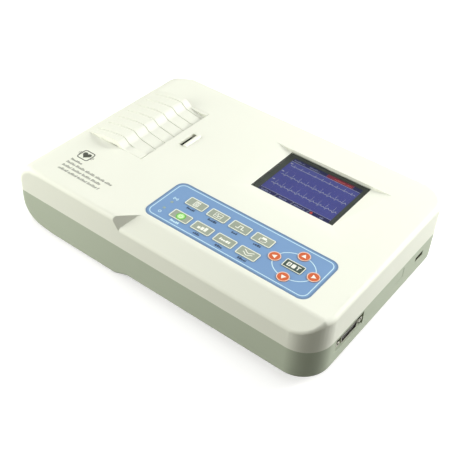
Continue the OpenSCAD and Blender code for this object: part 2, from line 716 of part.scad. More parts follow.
module printer_lid() {
    color(white) difference() {
        union() {
            slab_y(lid_y) {
                lid_nose();
                lid_band(hump_x[0] - 0.2, lid_x1, 0, lid_t);
            }
            // rims that stay level with the case beside the sunk right part
            for (y = [[lid_y[0], rim_y[0]], [rim_y[1], lid_y[1]]])
                slab_y(y) difference() {
                    translate([hump_x[2] - 2, top_z - lid_drop - lid_t])
                        square([lid_x1 - hump_x[2] + 2, lid_drop + lid_t]);
                    lid_band(hump_x[2] - 3, lid_x1 + 1, lid_t, lid_t + 8);
                }
            // skirts under both ends
            for (y = [[lid_y[0], lid_y[0] + 2], [lid_y[1] - 2, lid_y[1]]])
                slab_y(y) lid_band(hump_x[0], platen_at[0] - 6, 1, 5);
            // barrel of the hinge
            rod_y(hinge_at, [-20.6, 52.6], hinge_r);
            slab_y([-20.6, 52.6]) translate([-hl, hinge_at[1] - 0.1]) square([5, 4]);
            // ears that carry the platen
            for (y = ear_y) {
                rod_y(platen_at, y, 5);
                box([platen_at[0] - 5, y[0], platen_at[1]],
                    [platen_at[0] + 4.4, y[1], lid_z(platen_at[0] + 4.4, 1)]);
            }
            // catches that the latch holds
            for (y = catch_y) {
                box([-80, y[0], 57.5], [-78.4, y[1], lid_z(-78.4, 1)]);
                slab_y(y) polygon([[-80, 57.2], [-79.2, 56.4], [-78.4, 57.6], [-78.4, 58.9],
                    [-81.2, 58.9], [-81.2, 58.3]]);
            }
        }
        for (i = [0 : groove_n - 1]) {
            y = groove_y0 + i * groove_pitch;
            slab_y([y - groove_w / 2, y + groove_w / 2]) lid_band(groove_x[0], groove_x[1], -2, groove_d);
        }
        for (y = [[-29.4, -20.6], [52.6, 61.4]]) rod_y(hinge_at, y, hinge_r + 0.4);
        for (y = [[-29.4, -20.6], [52.6, 61.4]])
            box([-hl - 1, y[0], hinge_at[1] - 4], [hinge_at[0] + 3.2, y[1], hinge_at[1] + 0.6]);
        rod_y(hinge_at, [-22, 54], hinge_pin_r + run_gap);
        for (y = ear_y) rod_y(platen_at, [y[0] - 0.5, y[1] + 0.5], 3.2);
    }
}

module lid_hinge_pin() { color(steel) rod_y(hinge_at, [-30.3, 62.3], hinge_pin_r); }

module platen_bushes() {
    color([0.75, 0.6, 0.3]) for (y = ear_y) difference() {
        rod_y(platen_at, y, 3.2);
        rod_y(platen_at, [y[0] - 1, y[1] + 1], shaft_r + run_gap);
    }
}

module platen_shaft() { color(steel) rod_y(platen_at, [-28.2, gear_y[1]], shaft_r); }

module platen_rubber() {
    color(black) difference() {
        rod_y(platen_at, [-24.6, 56.4], platen_r);
        rod_y(platen_at, [-25, 57], shaft_r);
    }
}

module platen_gear() { color(white) gear(platen_at, platen_teeth, gear_y, -90, shaft_r); }

module idler_gear() {
    color(white) gear(idler_at, idler_teeth, gear_y, 90 + 180 / idler_teeth, shaft_r + run_gap);
}

// The pinion's tooth that lies in a gap of the idler on their line of centres
pinion_mesh = let (step = 360 / idler_teeth, first = 90 + step / 2, off = (pinion_angle - first) / step)
    pinion_angle + 180 + (off - round(off) + 0.5) * step * idler_teeth / pinion_teeth;

module motor_pinion() {
    color([0.75, 0.6, 0.3]) {
        gear(pinion_at, pinion_teeth, gear_y, pinion_mesh, 1);
        rod_y(pinion_at, [52, gear_y[1]], 1);
    }
}

module stepper_motor() {
    color(steel) difference() {
        union() {
            rod_y(pinion_at, [38, 55.3], motor_r);
            slab_y([54, 55.3]) hull()
                for (s = [-1, 1]) translate(pinion_at + [s * 17, 0]) circle(r = 3.5, $fn = 32);
        }
        rod_y(pinion_at, [50, 58], 1 + run_gap);
        for (s = [-1, 1]) rod_y(pinion_at + [s * 17, 0], [53, 58], 1.6);
    }
}

module print_frame() {
    color([0.62, 0.63, 0.64]) difference() {
        union() {
            for (y = [[frame_y[0], frame_y[0] + frame_t], [frame_y[1] - frame_t, frame_y[1]]])
                box([-93.2, y[0], 4.1], [-52, y[1], 45.6]);
            box([-90, frame_y[0], 4.1], [-52, frame_y[1], 4.1 + frame_t]);
            box([-74.6, frame_y[0], 40], [-73.1, frame_y[1], 57.8]);
            for (y = [[frame_y[0], frame_y[0] + frame_t], [frame_y[1] - frame_t, frame_y[1]]])
                box([-74.6, y[0], 44], [-66, y[1], 57.8]);
            rod_y(idler_at, [frame_y[1] - 0.1, gear_y[1] + 0.3], shaft_r);
        }
        rod_y(pinion_at, [frame_y[1] - 3, frame_y[1] + 1], 3);
        box([-70, -20, 4], [-60, 20, 7]);
    }
}

module print_head() {
    color([0.35, 0.36, 0.38]) {
        box([head_x, -26.4, 45], [head_x + 1, 54.8, 57.6]);
        difference() {
            box([head_x + 0.9, -26.4, 43], [head_x + 4.2, 54.8, 57.6]);
            for (y = [-20 : 8 : 52]) box([head_x + 2.2, y, 42], [head_x + 5, y + 4, 56]);
        }
    }
}

module head_springs() {
    color(steel) for (y = [-8, 14, 36])
        translate([head_x + 4.38, y, 50]) rotate([0, 90, 0]) spring(2.5, 0.42, 2.2, 0.15);
}

module paper_bay() {
    color([0.85, 0.86, 0.82]) difference() {
        union() {
            slab_y([-27.5, 58.5]) {
                difference() {
                    translate(roll_at) circle(r = trough_r + trough_t);
                    translate(roll_at) circle(r = trough_r);
                    translate([roll_at[0] - 40, roll_at[1]]) square([80, 40]);
                }
                translate([roll_at[0] - trough_r - trough_t, roll_at[1] - 0.1]) square([trough_t, 10]);
                translate([roll_at[0] + trough_r, roll_at[1] - 0.1]) square([trough_t, 9]);
                // deck that leads the paper from the trough up to the platen
                polygon([[roll_at[0] + trough_r, 38.5], [roll_at[0] + trough_r, 40],
                    [-93.5, 43.4], [-93.5, 41.9]]);
            }
            for (y = [[-27.5, -26], [57, 58.5]]) {
                rod_y(roll_at, y, trough_r + trough_t);
                box([roll_at[0] - trough_r - trough_t, y[0], roll_at[1]],
                    [roll_at[0] + trough_r + trough_t, y[1], bay_wall_z]);
            }
            for (x = [-134, -104]) box([x, -27.5, left_floor_z + wall + 0.2], [x + 3, 58.5, 20]);
        }
        box([-150, -30, bay_wall_z], [-92, 61, top_z]);
        // notch in the deck that the paper sensor looks through
        box([-95.8, 15, 38], [-92, 17, 45]);
        rod_y(roll_at, [-26, 57], trough_r);
        for (y = [[-28, -25], [56, 59]]) {
            rod_y(roll_at, y, spindle_pin_r + run_gap);
            box([roll_at[0] - spindle_pin_r - run_gap, y[0], roll_at[1]],
                [roll_at[0] + spindle_pin_r + run_gap, y[1], 60]);
        }
    }
}

module paper_roll() {
    color([0.95, 0.9, 0.88]) difference() {
        rod_y(roll_at, [bay_c_y - paper_w / 2, bay_c_y + paper_w / 2], roll_r);
        rod_y(roll_at, [-30, 60], roll_core_r);
    }
}

module paper_spindle() {
    color(white) {
        rod_y(roll_at, [-25.4, 56.4], spindle_r);
        rod_y(roll_at, [-28.2, 59.2], spindle_pin_r);
        for (a = [0, 120, 240]) translate([roll_at[0], -20, roll_at[1]]) rotate([0, a, 0])
            translate([spindle_r - 0.2, 0, -0.6]) cube([0.5, 70, 1.2]);
    }
}

module paper_sensor() {
    color(black) {
        box([-95.6, 12, 35], [-93.8, 20, 40.1]);
        post([-94.7, 16], [40, 42], 0.7);
    }
}

module latch_slide() {
    color(white) difference() {
        union() {
            box([-72, -31.3, latch_z[0]], [spring_x[0], 63.1, latch_z[1]]);
            // arms with a hook at the end for each catch
            for (y = [[-31.3, -30.2], [62, 63.1]]) box([-84.2, y[0], latch_z[0]], [-71, y[1], latch_z[1]]);
            for (y = [[-31.3, -28], [59.8, 63.1]]) box([-84.2, y[0], latch_z[0]], [-82.2, y[1], latch_z[1]]);
            // knob
            box([knob_x[0] + 0.2, 8.2, latch_z[1] - 0.1], [knob_x[1] - 0.2, 29, 66.6]);
            slab_y([8.2, 29]) {
                translate([knob_x[0], 66]) square([knob_x[1] - knob_x[0], 1]);
                translate([(knob_x[0] + knob_x[1]) / 2, 66.4]) intersection() {
                    circle(r = (knob_x[1] - knob_x[0]) / 2);
                    translate([-3, 0]) square([6, 3]);
                }
            }
        }
        for (y = [-14, 36]) box([-68, y, latch_z[0] - 1], [spring_x[0] - 4, y + 16, latch_z[1] + 1]);
    }
}

module latch_spring() {
    wire = 0.3;
    turns = 6;
    length = spring_x[1] - spring_x[0] - 2 * wire - 0.02;
    color(steel) translate([spring_x[0] + wire + 0.01, 18.6, (latch_z[0] + latch_z[1]) / 2])
        rotate([0, 90, 0]) spring(turns, length / turns, 1.6, wire);
}

// ---- sockets ----

// The outline of a 15-way D socket, grown by g
module d_outline(g) {
    polygon([[-12.3 - g, 4 + g], [12.3 + g, 4 + g], [11 + g, -4 - g], [-11 - g, -4 - g]]);
}

// A plan outline in Y and Z carried along X from x0 to x1, centred on the connector
module conn_slab(x0, x1) {
    translate([x0, conn_c[0], conn_c[1]]) rotate([90, 0, 90]) linear_extrude(x1 - x0) children();
}

module patient_connector() {
    color([0.78, 0.79, 0.8]) difference() {
        union() {
            conn_slab(conn_floor_x, conn_floor_x + 0.8) square([39.1, 12.4], center = true);
            conn_slab(conn_floor_x - 6, conn_floor_x + 5.6) difference() {
                d_outline(0);
                d_outline(-0.5);
            }
            conn_slab(conn_floor_x - 6, conn_floor_x - 5) d_outline(0);
        }
        for (s = [-1, 1]) rod_x([conn_floor_x - 2, hl], conn_c + [s * conn_screw_pitch / 2, 0], 1.6);
        conn_slab(conn_floor_x - 4, conn_floor_x + 2) d_outline(-0.5);
        conn_slab(conn_floor_x - 7, conn_floor_x - 4.5) d_outline(-2);
    }
}

module connector_insert() {
    color(black) difference() {
        conn_slab(conn_floor_x - 8, conn_floor_x + 4.6) d_outline(-1.2);
        conn_slab(conn_floor_x - 4.9, conn_floor_x + 5) for (p = pin_at) translate(p) circle(r = 0.75);
        conn_slab(conn_floor_x - 6.1, conn_floor_x - 4.9) difference() {
            square([60, 30], center = true);
            d_outline(-2.1);
        }
    }
}

pin_at = concat([for (i = [0 : 7]) [(i - 3.5) * 2.77, 1.42]], [for (i = [0 : 6]) [(i - 3) * 2.77, -1.42]]);

module connector_pins() {
    color([0.85, 0.7, 0.35]) conn_slab(conn_floor_x - 4.9, conn_floor_x + 3.6)
        for (p = pin_at) translate(p) circle(r = 0.6);
}

module jackscrews() {
    color(steel) for (s = [-1, 1]) {
        at = conn_c + [s * conn_screw_pitch / 2, 0];
        difference() {
            translate([conn_floor_x + 0.9, at[0], at[1]]) rotate([0, 90, 0])
                cylinder(r = 2.75, h = 4.6, $fn = 6);
            rod_x([conn_floor_x + 1.5, hl], at, 1.25);
        }
        rod_x([conn_floor_x - 4, conn_floor_x + 1], at, 1.4);
    }
}

module usb_port() {
    color([0.78, 0.79, 0.8]) {
        difference() {
            box([hl - 15.5, usb_c[0] - 6.6, usb_c[1] - 2.6], [hl - 0.4, usb_c[0] + 6.6, usb_c[1] + 2.6]);
            box([hl - 14.5, usb_c[0] - 6.2, usb_c[1] - 2.2], [hl, usb_c[0] + 6.2, usb_c[1] + 2.2]);
        }
        box([hl - 14.6, usb_c[0] - 5.4, usb_c[1] + 0.2], [hl - 1.2, usb_c[0] + 5.4, usb_c[1] + 2]);
        for (y = [-4, 4])
            box([hl - 13, usb_c[0] + y - 0.8, main_z], [hl - 11, usb_c[0] + y + 0.8, usb_c[1] - 2.5]);
    }
}

module port_cover() {
    color(grey_green) {
        box([hl - 1.6, blank_y[0] + 0.35, blank_z[0] + 0.35],
            [hl - 0.1, blank_y[1] - 0.35, blank_z[1] - 0.35]);
        for (z = [blank_z[0] + 1, blank_z[1] - 2])
            box([hl - 5, blank_y[0] + 3, z], [hl - 1.5, blank_y[1] - 3, z + 1]);
    }
}

module mains_inlet() {
    color(black) difference() {
        union() {
            box([inlet_c[0] - 16, hw - 2.9, inlet_c[1] - 12], [inlet_c[0] + 16, hw - 0.2, inlet_c[1] + 12]);
            box([inlet_c[0] - 13.5, hw - 19, inlet_c[1] - 9.7],
                [inlet_c[0] + 13.5, hw - 2.8, inlet_c[1] + 9.7]);
        }
        slab_y([hw - 16, hw + 1]) translate(inlet_c)
            polygon([[-12, -8], [12, -8], [12, 4], [8, 8], [-8, 8], [-12, 4]]);
    }
    color(steel) for (p = [[-7, -2], [0, 2], [7, -2]])
        box([inlet_c[0] + p[0] - 1, hw - 22, inlet_c[1] + p[1] - 2],
            [inlet_c[0] + p[0] + 1, hw - 4, inlet_c[1] + p[1] + 2]);
}

module ground_terminal() {
    color([0.8, 0.68, 0.35]) {
        rod_y(ground_c, [hw - 12, hw - 0.4], 2);
        difference() {
            rod_y(ground_c, [hw - 4.4, hw - 2.8], 4.6);
            rod_y(ground_c, [hw - 5, hw], 1.9);
        }
    }
}

module ribbon_cables() {
    color([0.75, 0.76, 0.78]) {
        box([24, -69.5, 56.6], [29, -64.5, 58.9]);
        box([24, -69.5, 56.2], [29, -36, 56.6]);
        box([24, -36.4, 28], [29, -36, 56.3]);
        box([24, -36.4, main_z + 1.8], [29, -36, 28.1]);
    }
}

lower_case();
upper_case();
case_screws();
feet();
battery_pack();
battery_door();
main_board();
power_board();
board_screws();
speaker();
screen_window();
lcd_panel();
lcd_bracket();
keypad_overlay();
dome_sheet();
keypad_board();
indicator_lights();
key_menu();
key_mode();
key_calibrate();
key_print();
key_power();
key_gain();
key_speed();
key_filter();
key_left();
key_up();
key_down();
key_right();
key_set();
printer_lid();
lid_hinge_pin();
platen_bushes();
platen_shaft();
platen_rubber();
platen_gear();
idler_gear();
motor_pinion();
stepper_motor();
print_frame();
print_head();
head_springs();
paper_bay();
paper_roll();
paper_spindle();
paper_sensor();
latch_slide();
latch_spring();
patient_connector();
connector_insert();
connector_pins();
jackscrews();
usb_port();
port_cover();
mains_inlet();
ground_terminal();
ribbon_cables();
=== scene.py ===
import json
import math

import bmesh
import bpy
from mathutils import Matrix, Vector


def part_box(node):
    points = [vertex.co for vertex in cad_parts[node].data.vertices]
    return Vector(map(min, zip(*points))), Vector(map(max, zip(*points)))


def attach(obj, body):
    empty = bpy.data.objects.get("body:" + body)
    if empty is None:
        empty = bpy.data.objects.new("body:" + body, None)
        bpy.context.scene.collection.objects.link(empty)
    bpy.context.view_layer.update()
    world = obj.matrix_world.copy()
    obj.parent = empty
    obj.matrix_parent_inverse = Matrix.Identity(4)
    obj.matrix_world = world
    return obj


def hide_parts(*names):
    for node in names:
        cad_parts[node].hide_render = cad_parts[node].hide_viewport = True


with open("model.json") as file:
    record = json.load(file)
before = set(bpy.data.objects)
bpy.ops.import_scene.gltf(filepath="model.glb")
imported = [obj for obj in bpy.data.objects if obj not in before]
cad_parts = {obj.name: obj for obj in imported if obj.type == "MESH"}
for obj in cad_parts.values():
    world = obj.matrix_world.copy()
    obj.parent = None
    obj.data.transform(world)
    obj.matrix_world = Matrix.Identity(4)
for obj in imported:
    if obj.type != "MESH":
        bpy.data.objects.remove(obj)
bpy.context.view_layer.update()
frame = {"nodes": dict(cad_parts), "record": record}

MM = 0.001
WELD_GAP = 2e-6
SHARP = math.radians(32)  # an edge that turns by more than this stays sharp
NODES = frame["nodes"]
BODY_OF = {n: b for b, ns in frame["record"]["behaviour"]["bodies"].items() for n in ns}
SLOT_OF = {s["node"]: s["material_slot"] for s in frame["record"]["subparts"]}


# ---- materials ----

def node_material(name):
    """An empty node material, with its nodes, links, Principled shader and object coordinates."""
    made = bpy.data.materials.new(name)
    made.use_nodes = True
    tree = made.node_tree
    shader = tree.nodes["Principled BSDF"]
    coords = tree.nodes.new("ShaderNodeTexCoord").outputs["Object"]
    return made, tree.nodes, tree.links, shader, coords


def noise(nodes, links, vector, scale, detail=3.0, stretch=None):
    """A noise texture's value over the object, stretched along an axis for brushed or rolled surfaces."""
    if stretch:
        mapping = nodes.new("ShaderNodeMapping")
        mapping.inputs["Scale"].default_value = stretch
        links.new(vector, mapping.inputs["Vector"])
        vector = mapping.outputs["Vector"]
    texture = nodes.new("ShaderNodeTexNoise")
    texture.inputs["Scale"].default_value = scale
    texture.inputs["Detail"].default_value = detail
    links.new(vector, texture.inputs["Vector"])
    return texture.outputs["Fac"]


def ramp(nodes, links, value, stops):
    """A colour ramp from (position, colour) stops."""
    made = nodes.new("ShaderNodeValToRGB")
    elements = made.color_ramp.elements
    for i, (place, colour) in enumerate(stops):
        element = elements[i] if i < 2 else elements.new(place)
        element.position = place
        element.color = (*colour, 1.0)
    links.new(value, made.inputs["Fac"])
    return made.outputs["Color"]


def spread(nodes, links, value, low, high):
    """A value from 0..1 spread over low..high."""
    made = nodes.new("ShaderNodeMapRange")
    made.inputs["To Min"].default_value = low
    made.inputs["To Max"].default_value = high
    links.new(value, made.inputs["Value"])
    return made.outputs["Result"]


def bump(nodes, links, shader, height, distance, strength=1.0):
    """A bump from a height value, in metres."""
    made = nodes.new("ShaderNodeBump")
    made.inputs["Strength"].default_value = strength
    made.inputs["Distance"].default_value = distance
    links.new(height, made.inputs["Height"])
    links.new(made.outputs["Normal"], shader.inputs["Normal"])


def surface(
    name, colour, rough=0.45, vary=0.03, mottle=25.0, grain=2600.0, depth=0.00002,
    metal=0.0, stretch=None, rough_vary=0.06, emit=0.0, shine=0.5,
):
    """A moulded, rolled or printed surface: its colour drifts a little and a fine grain breaks its gloss."""
    made, nodes, links, shader, coords = node_material(name)
    dark = [c * (1 - vary) for c in colour]
    light = [min(1.0, c * (1 + vary)) for c in colour]
    drift = noise(nodes, links, coords, mottle)
    tint = ramp(nodes, links, drift, [(0.3, dark), (0.7, light)])
    links.new(tint, shader.inputs["Base Color"])
    fine = noise(nodes, links, coords, grain, 2.0, stretch)
    links.new(spread(nodes, links, fine, rough - rough_vary, rough + rough_vary), shader.inputs["Roughness"])
    shader.inputs["Metallic"].default_value = metal
    shader.inputs["Specular IOR Level"].default_value = shine
    if emit:
        links.new(tint, shader.inputs["Emission Color"])
        shader.inputs["Emission Strength"].default_value = emit
    bump(nodes, links, shader, fine, depth)
    return made


FILM = {"grain": 3600.0, "depth": 0.000006}  # the fine grain of the keypad's films
MATERIALS = {
    "case_white": surface(
        "white_plastic", (0.80, 0.81, 0.75), 0.55, vary=0.012, mottle=9, depth=0.000012, shine=0.3,
    ),
    "case_grey": surface("grey_green_plastic", (0.44, 0.485, 0.40), 0.6, vary=0.02, mottle=9, shine=0.3),
    "steel": surface("brushed_steel", (0.60, 0.61, 0.63), 0.32, metal=1.0, grain=900, stretch=(1, 0.05, 1)),
    "rubber": surface("black_rubber", (0.035, 0.035, 0.037), 0.75, vary=0.15, grain=1800),
    "battery_blue": surface("shrink_sleeve", (0.03, 0.09, 0.30), 0.25, vary=0.08, grain=150, depth=0.0001),
    "circuit_board": surface("solder_resist", (0.02, 0.17, 0.07), 0.3, vary=0.25, mottle=160, grain=900),
    "power_circuit_board": surface("paper_laminate", (0.30, 0.19, 0.06), 0.45, vary=0.12, mottle=220),
    "black_plastic": surface("black_plastic", (0.028, 0.028, 0.03), 0.45, vary=0.12),
    "keypad_blue": surface("blue_film", (0.185, 0.32, 0.575), 0.38, vary=0.02, **FILM),
    "indicator": surface("indicator_lens", (0.33, 0.43, 0.42), 0.25, vary=0.05),
    "key_grey": surface("key_film", (0.325, 0.365, 0.31), 0.38, vary=0.03, **FILM),
    "key_power": surface("power_key_film", (0.325, 0.365, 0.31), 0.38, vary=0.03, **FILM),
    "key_orange": surface("orange_key_film", (0.62, 0.125, 0.045), 0.36, vary=0.03, **FILM),
    "key_dark": surface("dark_key_film", (0.055, 0.085, 0.075), 0.36, vary=0.05, **FILM),
    "bronze": surface("sintered_bronze", (0.52, 0.33, 0.13), 0.4, metal=1.0, grain=3200, depth=0.00004),
    "gear_plastic": surface("acetal", (0.72, 0.71, 0.66), 0.3, vary=0.02),
    "frame_steel": surface(
        "zinc_plate", (0.55, 0.57, 0.60), 0.35, metal=1.0, vary=0.08, mottle=120, grain=700,
    ),
    "head_ceramic": surface("head_ceramic", (0.12, 0.12, 0.13), 0.25, vary=0.1),
    "bay_plastic": surface("bay_plastic", (0.66, 0.665, 0.61), 0.48, vary=0.02),
    "paper": surface("recording_paper", (0.88, 0.80, 0.78), 0.7, vary=0.03, mottle=90, grain=5200),
    "latch_white": surface("latch_plastic", (0.80, 0.81, 0.75), 0.5, vary=0.01, shine=0.3),
    "connector_shell": surface(
        "nickel_plate", (0.42, 0.41, 0.34), 0.24, metal=1.0, vary=0.04, mottle=300, grain=1500,
    ),
    "contact_gold": surface("gold_flash", (0.78, 0.56, 0.22), 0.25, metal=1.0, vary=0.05),
    "cable_grey": surface(
        "flat_cable", (0.50, 0.51, 0.52), 0.5, vary=0.05, grain=700, stretch=(1, 0.02, 0.02),
    ),
    "lcd": surface("display_edge", (0.06, 0.06, 0.075), 0.3, vary=0.1),
}


def glass():
    """The screen's pane: clear, very slightly smoky and with a faint unevenness in its gloss."""
    made, nodes, links, shader, coords = node_material("screen_glass")
    fine = noise(nodes, links, coords, 40.0)
    tint = ramp(nodes, links, fine, [(0.2, (0.86, 0.88, 0.86)), (0.8, (0.92, 0.93, 0.92))])
    links.new(tint, shader.inputs["Base Color"])
    links.new(spread(nodes, links, fine, 0.02, 0.05), shader.inputs["Roughness"])
    shader.inputs["Transmission Weight"].default_value = 1.0
    shader.inputs["IOR"].default_value = 1.12
    return made


MATERIALS["screen_window"] = glass()


# ---- meshes ----

def from_bmesh(bm, name):
    """A new object from a bmesh, with rounded shading except over its sharp edges."""
    mesh = bpy.data.meshes.new(name)
    bm.to_mesh(mesh)
    bm.free()
    mesh.polygons.foreach_set("use_smooth", [True] * len(mesh.polygons))
    mesh.set_sharp_from_angle(angle=SHARP)
    made = bpy.data.objects.new(name, mesh)
    bpy.context.scene.collection.objects.link(made)
    weighted = made.modifiers.new("weighted", "WEIGHTED_NORMAL")
    weighted.keep_sharp = True
    return made


def dress(piece, slot, body):
    """Gives a new piece its material slot's material and the body it moves with."""
    piece.data.materials.append(MATERIALS[slot])
    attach(piece, body)
    return piece


def skin(node, width, angle=28.0):
    """A copy of a CAD node with its sharp edges rounded over, in place of the node."""
    bm = bmesh.new()
    bm.from_mesh(NODES[node].data)
    bmesh.ops.remove_doubles(bm, verts=bm.verts, dist=WELD_GAP)
    bmesh.ops.dissolve_limit(bm, angle_limit=math.radians(0.4), verts=bm.verts, edges=bm.edges)
    limit = math.radians(angle)
    edges = [e for e in bm.edges if e.is_manifold and e.calc_face_angle() > limit]
    bmesh.ops.bevel(
        bm, geom=edges, offset=width * MM, offset_type="OFFSET", segments=3, profile=0.5,
        affect="EDGES", clamp_overlap=True,
    )
    piece = from_bmesh(bm, node + "_skin")
    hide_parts(node)
    return dress(piece, SLOT_OF[node], BODY_OF[node])


def keep(node):
    """Leaves a CAD node as it is, with rounded shading and its slot's material."""
    piece = NODES[node]
    mesh = piece.data
    mesh.polygons.foreach_set("use_smooth", [True] * len(mesh.polygons))
    weld = piece.modifiers.new("weld", "WELD")
    weld.merge_threshold = WELD_GAP
    split = piece.modifiers.new("split", "EDGE_SPLIT")
    split.split_angle = SHARP
    mesh.materials.clear()
    mesh.materials.append(MATERIALS[SLOT_OF[node]])


# ---- flat printing and other thin pieces ----

def outline(points):
    """A filled shape from its outline."""
    return [tuple(p) for p in points], [tuple(range(len(points)))]


def block(x0, x1, y0, y1):
    """A filled rectangle."""
    return outline([(x0, y0), (x1, y0), (x1, y1), (x0, y1)])


def between(outer, inner):
    """The band between two closed outlines with the same number of points."""
    n = len(outer)
    return list(outer) + list(inner), [(i, (i + 1) % n, n + (i + 1) % n, n + i) for i in range(n)]


def rounded(cx, cy, length, width, r, n=8):
    """A rounded rectangle's outline, anticlockwise."""
    corners = [(1, 1, 0), (-1, 1, 90), (-1, -1, 180), (1, -1, 270)]
    points = []
    for sx, sy, start in corners:
        x, y = cx + sx * (length / 2 - r), cy + sy * (width / 2 - r)
        turn = [math.radians(start + 90 * i / n) for i in range(n + 1)]
        points += [(x + r * math.cos(a), y + r * math.sin(a)) for a in turn]
    return points


def ellipse(cx, cy, rx, ry, n=72, start=0.0, end=360.0):
    """Points round an ellipse."""
    turn = [math.radians(start + (end - start) * i / n) for i in range(n if end - start == 360 else n + 1)]
    return [(cx + rx * math.cos(a), cy + ry * math.sin(a)) for a in turn]


def frame_of(cx, cy, length, width, r, line):
    """A rounded rectangle's border, its line measured inwards."""
    inner = rounded(cx, cy, length - 2 * line, width - 2 * line, max(r - line, 0.05))
    return between(rounded(cx, cy, length, width, r), inner)


def stroke(points, line):
    """A line of even width through some points."""
    left, right = [], []
    for i, p in enumerate(points):
        here = Vector(p)
        before = (here - Vector(points[i - 1])).normalized() if i else None
        after = (Vector(points[i + 1]) - here).normalized() if i < len(points) - 1 else None
        along = ((before or after) + (after or before)).normalized()
        across = Vector((-along.y, along.x))
        reach = line / 2 / max(0.5, across.dot(Vector((-(after or before).y, (after or before).x))))
        left.append(tuple(here + across * reach))
        right.append(tuple(here - across * reach))
    n = len(points)
    return left + right, [(i, n + i, n + i + 1, i + 1) for i in range(n - 1)]


def bars(x0, x1, y, height, letter=1.1, gap=0.45, phase=0.0, lean=0.0, word=5):
    """A row of small uneven bars that stands where a line of words would be."""
    made, x, i = [], x0, 0
    while x < x1 - 0.3 * letter:
        width = letter * (0.75 + 0.45 * math.sin(2.4 * i + phase) ** 2)
        tall = height * (0.8 + 0.2 * math.cos(1.7 * i + phase))
        right = min(x + width, x1)
        shift = lean * tall
        made.append(outline([(x, y), (right, y), (right + shift, y + tall), (x + shift, y + tall)]))
        x += width + (gap if i % word != word - 1 else 3 * gap)
        i += 1
    return made


def printed(name, shapes, material, z, body, thick=0.05):
    """Thin printing: shapes in millimetres, laid on a level surface at height z."""
    bm = bmesh.new()
    for points, faces in shapes:
        low = [bm.verts.new((x * MM, y * MM, (z - 0.02) * MM)) for x, y in points]
        high = [bm.verts.new((x * MM, y * MM, (z + thick) * MM)) for x, y in points]
        edges = {}
        for face in faces:
            bm.faces.new([high[i] for i in face])
            bm.faces.new([low[i] for i in reversed(face)])
            for a, b in zip(face, face[1:] + face[:1]):
                edges[frozenset((a, b))] = None if frozenset((a, b)) in edges else (a, b)
        for side in filter(None, edges.values()):
            a, b = side
            bm.faces.new([high[b], high[a], low[a], low[b]])
    bmesh.ops.recalc_face_normals(bm, faces=bm.faces)
    piece = from_bmesh(bm, name)
    piece.data.materials.append(material)
    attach(piece, body)
    return piece


def ink(name, colour, rough=0.4, emit=0.0):
    """A printed or lit colour."""
    return surface(name, colour, rough, vary=0.05, mottle=400, grain=4000, depth=0.000003, emit=emit)


WHITE_INK = ink("white_ink", (0.86, 0.87, 0.82))
PALE_INK = ink("pale_blue_ink", (0.56, 0.76, 0.88))
CREAM_INK = ink("cream_ink", (0.80, 0.83, 0.74))
NAVY_INK = ink("navy_ink", (0.035, 0.065, 0.13))
EDGE_INK = ink("blue_grey_ink", (0.14, 0.235, 0.40))
GREEN_INK = ink("green_ink", (0.16, 0.50, 0.10))
LIME_INK = ink("lime_ink", (0.45, 0.82, 0.30))
LABEL_INK = ink("label_ink", (0.075, 0.08, 0.07))
GREY_INK = ink("grey_ink", (0.27, 0.28, 0.25))
PINK_INK = ink("pink_ink", (0.86, 0.62, 0.52))


def middle(node):
    """The middle of a CAD node in millimetres, and the height of its top."""
    low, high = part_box(node)
    return (low.x + high.x) / 2 / MM, (low.y + high.y) / 2 / MM, high.z / MM


def centred(points, cx, cy, grow=1.0):
    """Points drawn round the origin, moved to a centre."""
    return [(cx + grow * x, cy + grow * y) for x, y in points]


# ---- rounded copies of the parts that show ----

SKINNED = {
    "upper_case": 0.3, "lower_case": 0.3, "printer_lid": 0.25, "latch_slide": 0.35, "keypad_overlay": 0.12,
    "battery_door": 0.3, "feet": 0.5, "port_cover": 0.15, "mains_inlet": 0.3, "paper_bay": 0.25,
}
SKINNED.update({n: 0.22 for n in NODES if n.startswith("key_")})
for node in sorted(NODES):
    if node in SKINNED:
        skin(node, SKINNED[node])
    else:
        keep(node)


# ---- keypad printing ----

PAD_BODY = BODY_OF["keypad_overlay"]
PAD_X, PAD_Y, PAD_TOP = middle("keypad_overlay")
PAD_L, PAD_W = 160.8, 51.6
RING = (104.1, -57.8)
RING_R = (18.4, 14.9)
RING_LINE = 0.8


def on_pad(name, shapes, material):
    """Printing on the keypad's film."""
    return printed(name, shapes, material, PAD_TOP, PAD_BODY)


on_pad("pad_edge", [frame_of(PAD_X, PAD_Y, PAD_L - 0.4, PAD_W - 0.4, 7.8, 1.2)], EDGE_INK)
on_pad("pad_line", [frame_of(PAD_X, PAD_Y, PAD_L - 5.4, PAD_W - 5.4, 6.0, 0.8)], PALE_INK)
inner = ellipse(*RING, RING_R[0] - RING_LINE, RING_R[1] - RING_LINE)
on_pad("arrow_ring", [between(ellipse(*RING, *RING_R), inner)], PALE_INK)

CAPTIONS = {
    "key_menu": 8.0, "key_mode": 8.5, "key_calibrate": 5.5, "key_print": 7.6,
    "key_gain": 6.0, "key_speed": 7.0, "key_filter": 8.0,
}
CAPTION_DROP = 9.2  # from a key's middle down to its caption's foot


def caption(node, length, phase=0.0):
    """A short row of bars under a key."""
    x, y, _ = middle(node)
    return bars(x - length / 2, x + length / 2, y - CAPTION_DROP, 2.5, 1.5, 0.35, phase=phase, word=9)


words = []
for order, (node, length) in enumerate(CAPTIONS.items()):
    words += caption(node, length, 0.9 * order)
on_pad("captions", words, NAVY_INK)
on_pad("power_caption", caption("key_power", 8.8), PALE_INK)


def arcs(cx, cy, radii, start, end, line):
    """Concentric arcs of even line width."""
    return [stroke(ellipse(cx, cy, r, r, 10, start, end), line) for r in radii]


